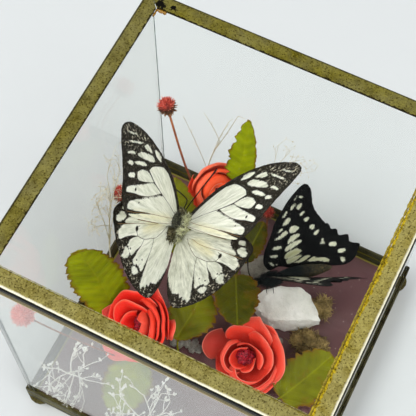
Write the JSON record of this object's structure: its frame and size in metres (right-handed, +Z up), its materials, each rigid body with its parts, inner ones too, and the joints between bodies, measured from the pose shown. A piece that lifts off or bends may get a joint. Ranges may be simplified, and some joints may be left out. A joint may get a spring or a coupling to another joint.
{
  "type": "butterfly display box",
  "caption": "Square sealed glass box with brass-strip edges and ball feet, holding mounted butterflies among roses, leaves, sprigs, stones and moss.",
  "frame": {"origin": "middle of the box's footprint, at the height its feet stand on", "axes": "+Z up; +X to the right along the front wall; +Y from the front wall to the back wall"},
  "size_m": [0.133, 0.133, 0.1523],
  "materials": {
    "brass": "olive antique brass strip with dark speckle",
    "glass": "clear 2 mm pane, slightly dusty",
    "board": "mauve-brown painted board with dust",
    "pale_wing": "cream scales with black veins and margins",
    "dark_wing": "black scales with cream-green spots",
    "body": "grey-green hair",
    "rose": "matt coral-red petals, paler at the rims",
    "leaf": "olive leaf with brownish edges, slight sheen",
    "stem": "dry stem",
    "seed_head": "dry red-brown flower head",
    "twig": "dry bleached twig",
    "white_stone": "rough white stone",
    "grey_stone": "matt grey stone",
    "moss": "dry olive-brown moss"
  },
  "bodies": {
    "root": {"lid_strip_front": "brass", "base_strip_front": "brass", "lid_strip_right": "brass", "base_strip_right": "brass", "lid_strip_back": "brass", "base_strip_back": "brass", "lid_strip_left": "brass", "base_strip_left": "brass", "glass_front": "glass", "glass_back": "glass", "glass_left": "glass", "glass_right": "glass", "glass_lid": "glass", "base_board": "board", "foot_front_left": "brass", "foot_front_right": "brass", "foot_back_right": "brass", "foot_back_left": "brass", "white_butterfly_body": "body", "white_forewing_left": "pale_wing", "white_forewing_right": "pale_wing", "white_hindwing_left": "pale_wing", "white_hindwing_right": "pale_wing", "dark_butterfly_body": "body", "dark_forewing_left": "dark_wing", "dark_forewing_right": "dark_wing", "dark_hindwing_left": "dark_wing", "dark_hindwing_right": "dark_wing", "rose_front": "rose", "rose_left": "rose", "rose_back": "rose", "rose_stem_left": "stem", "rose_stem_back": "stem", "leaf_left": "leaf", "leaf_back_tall": "leaf", "leaf_under_white": "leaf", "leaf_under_dark": "leaf", "leaf_middle_left": "leaf", "leaf_middle_right": "leaf", "leaf_right": "leaf", "leaf_front": "leaf", "seed_head_back": "seed_head", "seed_head_front": "seed_head", "seed_head_left": "seed_head", "seed_head_middle": "seed_head", "sprig_left": "twig", "sprig_back": "twig", "sprig_back_right": "twig", "sprig_front_left": "twig", "sprig_front_right": "twig", "stone_white": "white_stone", "stone_grey": "grey_stone", "gravel_middle": "grey_stone", "gravel_right": "grey_stone", "moss_right": "moss", "moss_behind": "moss"}
  },
  "joints": []
}
